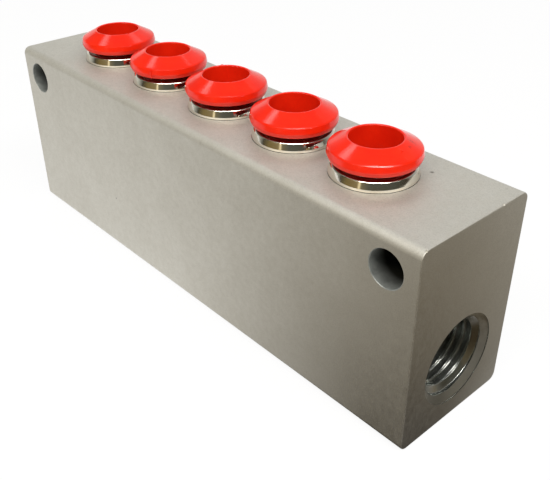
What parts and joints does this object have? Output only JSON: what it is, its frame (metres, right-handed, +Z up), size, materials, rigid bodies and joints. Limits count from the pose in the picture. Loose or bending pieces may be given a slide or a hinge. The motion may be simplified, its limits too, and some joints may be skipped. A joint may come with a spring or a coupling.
{
  "type": "air manifold block",
  "caption": "Aluminium air manifold bar with a threaded port in each end and a row of push-in tube fittings on top.",
  "frame": {"origin": "centre of the block's base", "axes": "+X along the block towards the end whose port the picture shows, +Z up out of the fittings, +Y towards the back face"},
  "size_m": [0.1064, 0.024, 0.0413],
  "materials": {
    "blasted_aluminium": "bead blasted and clear anodised, fine matte grain",
    "nickel_plate": "bright nickel plate",
    "red_plastic": "moulded, glossy",
    "spring_steel": "bright spring steel",
    "white_plastic": "moulded, matte",
    "seal_rubber": "moulded, satin black"
  },
  "bodies": {
    "manifold": {"manifold_block": "blasted_aluminium", "collar_1": "nickel_plate", "grip_ring_1": "spring_steel", "spacer_ring_1": "white_plastic", "tube_seal_1": "seal_rubber", "collar_2": "nickel_plate", "grip_ring_2": "spring_steel", "spacer_ring_2": "white_plastic", "tube_seal_2": "seal_rubber", "collar_3": "nickel_plate", "grip_ring_3": "spring_steel", "spacer_ring_3": "white_plastic", "tube_seal_3": "seal_rubber", "collar_4": "nickel_plate", "grip_ring_4": "spring_steel", "spacer_ring_4": "white_plastic", "tube_seal_4": "seal_rubber", "collar_5": "nickel_plate", "grip_ring_5": "spring_steel", "spacer_ring_5": "white_plastic", "tube_seal_5": "seal_rubber"},
    "sleeve_1": {"release_sleeve_1": "red_plastic"},
    "sleeve_2": {"release_sleeve_2": "red_plastic"},
    "sleeve_3": {"release_sleeve_3": "red_plastic"},
    "sleeve_4": {"release_sleeve_4": "red_plastic"},
    "sleeve_5": {"release_sleeve_5": "red_plastic"}
  },
  "joints": [
    {"name": "sleeve_1_press", "type": "slide", "parent": "manifold", "child": "sleeve_1", "axis": [0, 0, -1], "range_m": [0, 0.0008], "stiffness_N_per_m": 100, "springref_m": -0.003},
    {"name": "sleeve_2_press", "type": "slide", "parent": "manifold", "child": "sleeve_2", "axis": [0, 0, -1], "range_m": [0, 0.0008], "stiffness_N_per_m": 100, "springref_m": -0.003},
    {"name": "sleeve_3_press", "type": "slide", "parent": "manifold", "child": "sleeve_3", "axis": [0, 0, -1], "range_m": [0, 0.0008], "stiffness_N_per_m": 100, "springref_m": -0.003},
    {"name": "sleeve_4_press", "type": "slide", "parent": "manifold", "child": "sleeve_4", "axis": [0, 0, -1], "range_m": [0, 0.0008], "stiffness_N_per_m": 100, "springref_m": -0.003},
    {"name": "sleeve_5_press", "type": "slide", "parent": "manifold", "child": "sleeve_5", "axis": [0, 0, -1], "range_m": [0, 0.0008], "stiffness_N_per_m": 100, "springref_m": -0.003}
  ]
}
